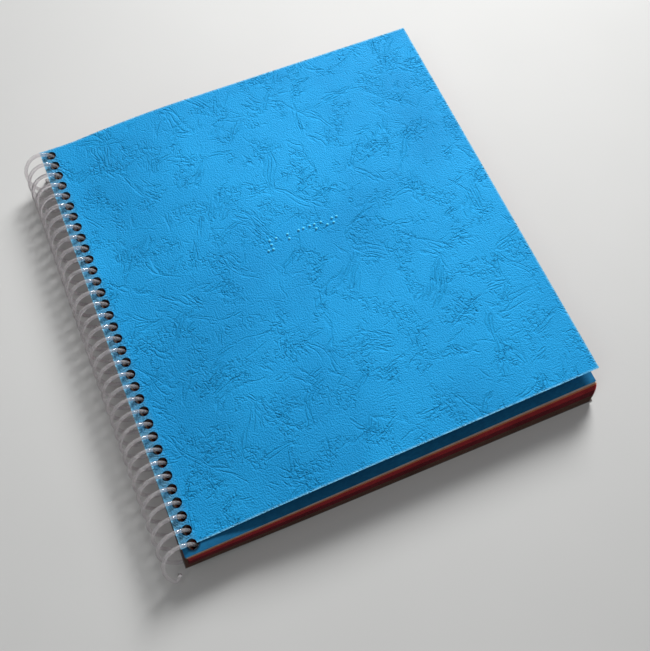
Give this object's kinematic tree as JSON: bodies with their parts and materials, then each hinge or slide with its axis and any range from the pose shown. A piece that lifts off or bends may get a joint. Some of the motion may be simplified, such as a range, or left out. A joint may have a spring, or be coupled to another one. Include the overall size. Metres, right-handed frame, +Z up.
{
  "type": "coil-bound book",
  "caption": "Nearly square book lying flat, with a leather-grain card cover and coloured leaves that turn on a clear plastic spiral coil along the spine.",
  "frame": {"origin": "on the table under the middle of the closed book", "axes": "+X toward the fore-edge, +Y toward the head of the pages along the spine, +Z up out of the front cover"},
  "size_m": [0.2203, 0.2247, 0.02],
  "materials": {
    "cover_card": "leather-grain embossing, satin",
    "flyleaf_card": "smooth, matte",
    "cream_paper": "matte",
    "orange_paper": "matte",
    "red_paper": "matte",
    "maroon_paper": "matte",
    "brown_paper": "matte",
    "back_card": "matte",
    "coil_plastic": "clear, glossy"
  },
  "bodies": {
    "back_cover": {"back_cover": "back_card"},
    "brown_leaf_1": {"brown_leaf_1": "brown_paper"},
    "brown_leaf_2": {"brown_leaf_2": "brown_paper"},
    "brown_leaf_3": {"brown_leaf_3": "brown_paper"},
    "brown_leaf_4": {"brown_leaf_4": "brown_paper"},
    "brown_leaf_5": {"brown_leaf_5": "brown_paper"},
    "maroon_leaf_1": {"maroon_leaf_1": "maroon_paper"},
    "maroon_leaf_2": {"maroon_leaf_2": "maroon_paper"},
    "maroon_leaf_3": {"maroon_leaf_3": "maroon_paper"},
    "maroon_leaf_4": {"maroon_leaf_4": "maroon_paper"},
    "maroon_leaf_5": {"maroon_leaf_5": "maroon_paper"},
    "red_leaf_1": {"red_leaf_1": "red_paper"},
    "red_leaf_2": {"red_leaf_2": "red_paper"},
    "red_leaf_3": {"red_leaf_3": "red_paper"},
    "red_leaf_4": {"red_leaf_4": "red_paper"},
    "red_leaf_5": {"red_leaf_5": "red_paper"},
    "orange_leaf_1": {"orange_leaf_1": "orange_paper"},
    "orange_leaf_2": {"orange_leaf_2": "orange_paper"},
    "cream_leaf_1": {"cream_leaf_1": "cream_paper"},
    "cream_leaf_2": {"cream_leaf_2": "cream_paper"},
    "blue_flyleaf": {"blue_flyleaf": "flyleaf_card"},
    "front_cover": {"front_cover": "cover_card"},
    "binding_coil": {"binding_coil": "coil_plastic"}
  },
  "joints": [
    {"name": "front_cover_turn", "type": "hinge", "parent": "back_cover", "child": "front_cover", "pos_m": [-0.09965, 0, 0.00975], "axis": [0, -1, 0], "range_deg": [0, 150]},
    {"name": "binding_coil_roll", "type": "hinge", "parent": "back_cover", "child": "binding_coil", "pos_m": [-0.09965, 0, 0.00975], "axis": [0, -1, 0], "range_deg": [0, 75.01]},
    {"name": "brown_leaf_1_turn", "type": "hinge", "parent": "back_cover", "child": "brown_leaf_1", "pos_m": [-0.09965, 0, 0.00975], "axis": [0, -1, 0], "range_deg": [0, 11.46]},
    {"name": "brown_leaf_2_turn", "type": "hinge", "parent": "back_cover", "child": "brown_leaf_2", "pos_m": [-0.09965, 0, 0.00975], "axis": [0, -1, 0], "range_deg": [0, 20.62]},
    {"name": "brown_leaf_3_turn", "type": "hinge", "parent": "back_cover", "child": "brown_leaf_3", "pos_m": [-0.09965, 0, 0.00975], "axis": [0, -1, 0], "range_deg": [0, 29.36]},
    {"name": "brown_leaf_4_turn", "type": "hinge", "parent": "back_cover", "child": "brown_leaf_4", "pos_m": [-0.09965, 0, 0.00975], "axis": [0, -1, 0], "range_deg": [0, 37.65]},
    {"name": "brown_leaf_5_turn", "type": "hinge", "parent": "back_cover", "child": "brown_leaf_5", "pos_m": [-0.09965, 0, 0.00975], "axis": [0, -1, 0], "range_deg": [0, 45.45]},
    {"name": "maroon_leaf_1_turn", "type": "hinge", "parent": "back_cover", "child": "maroon_leaf_1", "pos_m": [-0.09965, 0, 0.00975], "axis": [0, -1, 0], "range_deg": [0, 52.67]},
    {"name": "maroon_leaf_2_turn", "type": "hinge", "parent": "back_cover", "child": "maroon_leaf_2", "pos_m": [-0.09965, 0, 0.00975], "axis": [0, -1, 0], "range_deg": [0, 59.3]},
    {"name": "maroon_leaf_3_turn", "type": "hinge", "parent": "back_cover", "child": "maroon_leaf_3", "pos_m": [-0.09965, 0, 0.00975], "axis": [0, -1, 0], "range_deg": [0, 65.2]},
    {"name": "maroon_leaf_4_turn", "type": "hinge", "parent": "back_cover", "child": "maroon_leaf_4", "pos_m": [-0.09965, 0, 0.00975], "axis": [0, -1, 0], "range_deg": [0, 70.21]},
    {"name": "maroon_leaf_5_turn", "type": "hinge", "parent": "back_cover", "child": "maroon_leaf_5", "pos_m": [-0.09965, 0, 0.00975], "axis": [0, -1, 0], "range_deg": [0, 73.97]},
    {"name": "red_leaf_1_turn", "type": "hinge", "parent": "back_cover", "child": "red_leaf_1", "pos_m": [-0.09965, 0, 0.00975], "axis": [0, -1, 0], "range_deg": [0, 76.05]},
    {"name": "red_leaf_2_turn", "type": "hinge", "parent": "back_cover", "child": "red_leaf_2", "pos_m": [-0.09965, 0, 0.00975], "axis": [0, -1, 0], "range_deg": [0, 79.81]},
    {"name": "red_leaf_3_turn", "type": "hinge", "parent": "back_cover", "child": "red_leaf_3", "pos_m": [-0.09965, 0, 0.00975], "axis": [0, -1, 0], "range_deg": [0, 84.82]},
    {"name": "red_leaf_4_turn", "type": "hinge", "parent": "back_cover", "child": "red_leaf_4", "pos_m": [-0.09965, 0, 0.00975], "axis": [0, -1, 0], "range_deg": [0, 90.72]},
    {"name": "red_leaf_5_turn", "type": "hinge", "parent": "back_cover", "child": "red_leaf_5", "pos_m": [-0.09965, 0, 0.00975], "axis": [0, -1, 0], "range_deg": [0, 97.34]},
    {"name": "orange_leaf_1_turn", "type": "hinge", "parent": "back_cover", "child": "orange_leaf_1", "pos_m": [-0.09965, 0, 0.00975], "axis": [0, -1, 0], "range_deg": [0, 104.58]},
    {"name": "orange_leaf_2_turn", "type": "hinge", "parent": "back_cover", "child": "orange_leaf_2", "pos_m": [-0.09965, 0, 0.00975], "axis": [0, -1, 0], "range_deg": [0, 112.38]},
    {"name": "cream_leaf_1_turn", "type": "hinge", "parent": "back_cover", "child": "cream_leaf_1", "pos_m": [-0.09965, 0, 0.00975], "axis": [0, -1, 0], "range_deg": [0, 120.66]},
    {"name": "cream_leaf_2_turn", "type": "hinge", "parent": "back_cover", "child": "cream_leaf_2", "pos_m": [-0.09965, 0, 0.00975], "axis": [0, -1, 0], "range_deg": [0, 129.4]},
    {"name": "blue_flyleaf_turn", "type": "hinge", "parent": "back_cover", "child": "blue_flyleaf", "pos_m": [-0.09965, 0, 0.00975], "axis": [0, -1, 0], "range_deg": [0, 138.56]}
  ],
  "couplings": [
    {"joint": "binding_coil_roll", "follows": "front_cover_turn", "ratio": 0.5},
    {"joint": "brown_leaf_1_turn", "follows": "front_cover_turn", "ratio": 0.0763},
    {"joint": "brown_leaf_2_turn", "follows": "front_cover_turn", "ratio": 0.1374},
    {"joint": "brown_leaf_3_turn", "follows": "front_cover_turn", "ratio": 0.1957},
    {"joint": "brown_leaf_4_turn", "follows": "front_cover_turn", "ratio": 0.2509},
    {"joint": "brown_leaf_5_turn", "follows": "front_cover_turn", "ratio": 0.3029},
    {"joint": "maroon_leaf_1_turn", "follows": "front_cover_turn", "ratio": 0.3511},
    {"joint": "maroon_leaf_2_turn", "follows": "front_cover_turn", "ratio": 0.3953},
    {"joint": "maroon_leaf_3_turn", "follows": "front_cover_turn", "ratio": 0.4346},
    {"joint": "maroon_leaf_4_turn", "follows": "front_cover_turn", "ratio": 0.468},
    {"joint": "maroon_leaf_5_turn", "follows": "front_cover_turn", "ratio": 0.4931},
    {"joint": "red_leaf_1_turn", "follows": "front_cover_turn", "ratio": 0.5069},
    {"joint": "red_leaf_2_turn", "follows": "front_cover_turn", "ratio": 0.532},
    {"joint": "red_leaf_3_turn", "follows": "front_cover_turn", "ratio": 0.5654},
    {"joint": "red_leaf_4_turn", "follows": "front_cover_turn", "ratio": 0.6047},
    {"joint": "red_leaf_5_turn", "follows": "front_cover_turn", "ratio": 0.6489},
    {"joint": "orange_leaf_1_turn", "follows": "front_cover_turn", "ratio": 0.6971},
    {"joint": "orange_leaf_2_turn", "follows": "front_cover_turn", "ratio": 0.7491},
    {"joint": "cream_leaf_1_turn", "follows": "front_cover_turn", "ratio": 0.8043},
    {"joint": "cream_leaf_2_turn", "follows": "front_cover_turn", "ratio": 0.8626},
    {"joint": "blue_flyleaf_turn", "follows": "front_cover_turn", "ratio": 0.9237}
  ]
}
